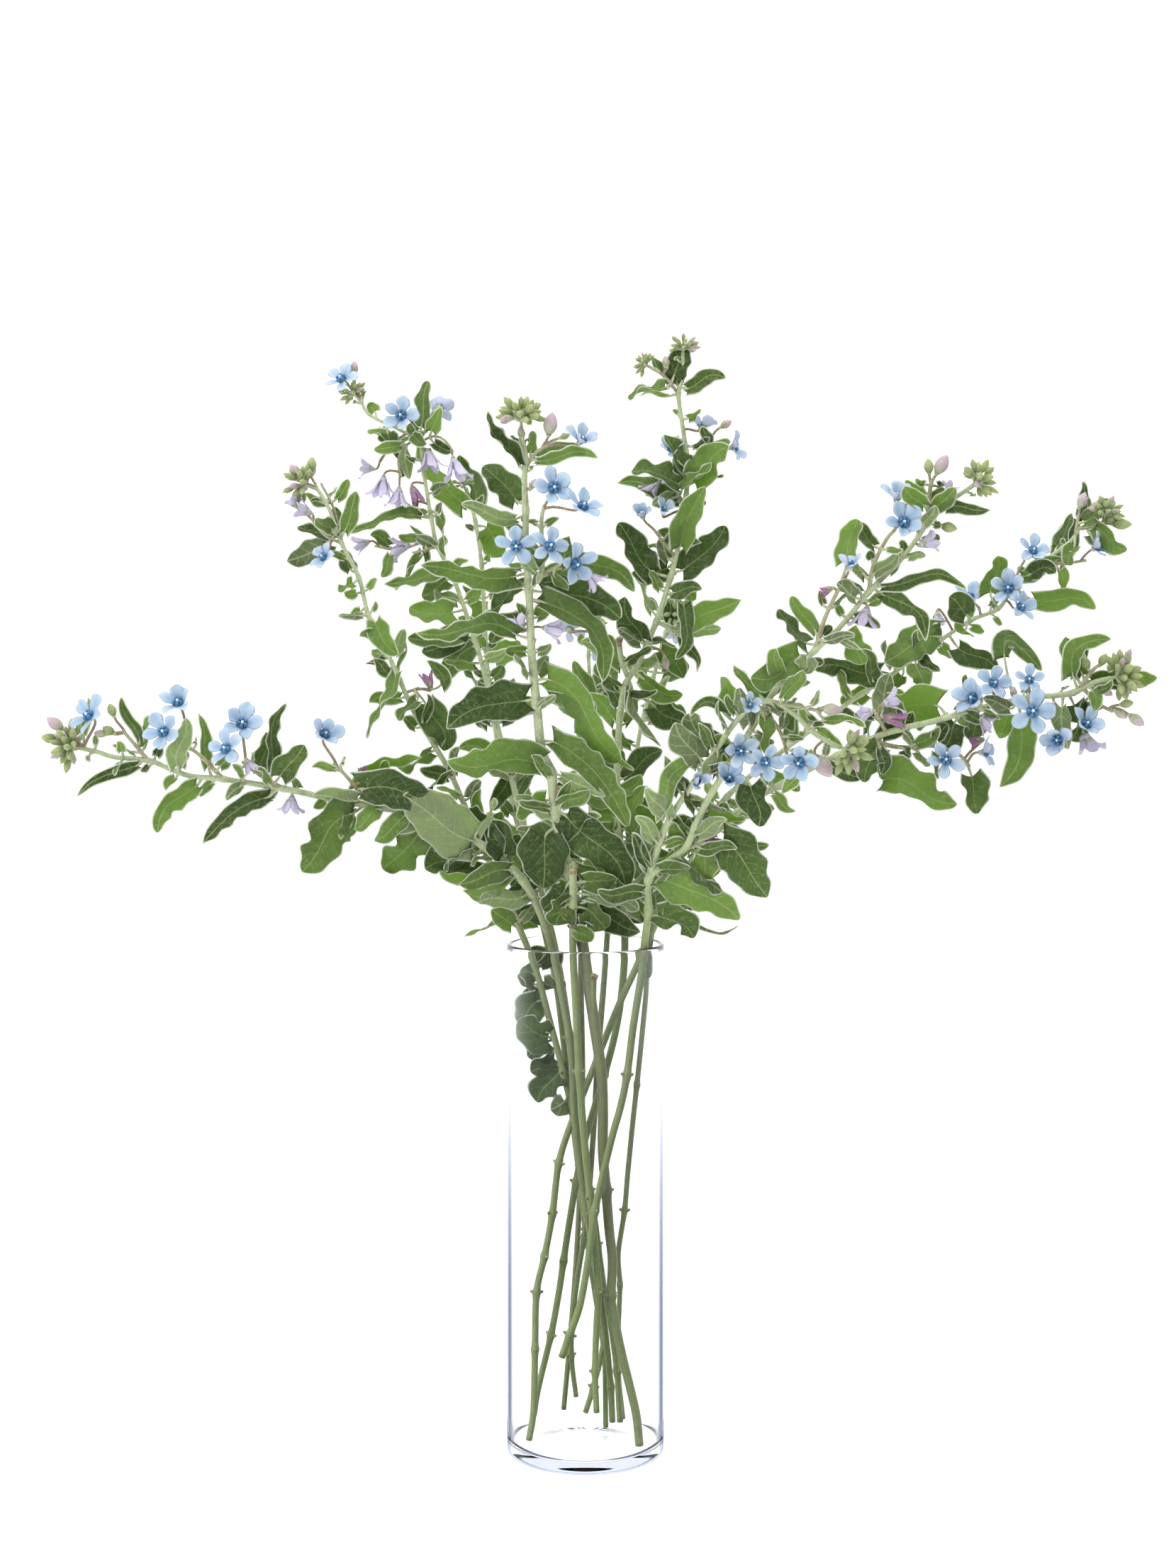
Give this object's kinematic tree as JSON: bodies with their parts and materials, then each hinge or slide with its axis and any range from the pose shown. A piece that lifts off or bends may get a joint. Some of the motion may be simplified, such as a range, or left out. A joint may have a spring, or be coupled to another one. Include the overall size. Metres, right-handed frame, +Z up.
{
  "type": "tweedia stem",
  "caption": "Loose bunch of blue tweedia stems with leafy shoots, buds and open star-shaped flowers, standing in a clear glass cylinder vase",
  "frame": {"origin": "centre of the flat underside of the vase", "axes": "+Z up along the vase's axis, +X to the right and +Y away from the viewer as pictured"},
  "size_m": [0.6897, 0.3093, 0.7069],
  "materials": {
    "glass": "clear",
    "foliage": "soft downy leaf",
    "petals": "soft matt petal"
  },
  "bodies": {
    "root": {"vase": "glass", "stem_front_right": "foliage", "stem_front_short": "foliage", "stem_centre": "foliage", "stem_left_low": "foliage", "stem_right_low": "foliage", "stem_left_middle": "foliage", "stem_top": "foliage", "stem_right_middle": "foliage", "stem_left_top": "foliage", "stem_back_right": "foliage", "stem_back_left": "foliage", "stem_back": "foliage", "bloom_front_right_1": "petals", "bloom_front_right_2": "petals", "bloom_front_right_3": "petals", "bloom_front_right_4": "petals", "bloom_front_right_5": "petals", "bloom_front_right_6": "petals", "bloom_front_right_7": "petals", "bloom_front_right_8": "petals", "bloom_front_right_9": "petals", "bloom_centre_1": "petals", "bloom_centre_2": "petals", "bloom_centre_3": "petals", "bloom_centre_4": "petals", "bloom_centre_5": "petals", "bloom_centre_6": "petals", "bloom_left_low_1": "petals", "bloom_left_low_2": "petals", "bloom_left_low_3": "petals", "bloom_left_low_4": "petals", "bloom_left_low_5": "petals", "bloom_left_low_6": "petals", "bloom_right_low_1": "petals", "bloom_right_low_2": "petals", "bloom_right_low_3": "petals", "bloom_right_low_4": "petals", "bloom_right_low_5": "petals", "bloom_right_low_6": "petals", "bloom_right_low_7": "petals", "bloom_right_low_8": "petals", "bloom_left_middle_1": "petals", "bloom_top_1": "petals", "bloom_top_2": "petals", "bloom_top_3": "petals", "bloom_top_4": "petals", "bloom_top_5": "petals", "bloom_top_6": "petals", "bloom_right_middle_1": "petals", "bloom_right_middle_2": "petals", "bloom_right_middle_3": "petals", "bloom_right_middle_4": "petals", "bloom_right_middle_5": "petals", "bloom_left_top_1": "petals", "bloom_left_top_2": "petals", "bloom_left_top_3": "petals", "bloom_back_right_1": "petals", "bloom_back_1": "petals", "bloom_back_2": "petals"}
  },
  "joints": []
}
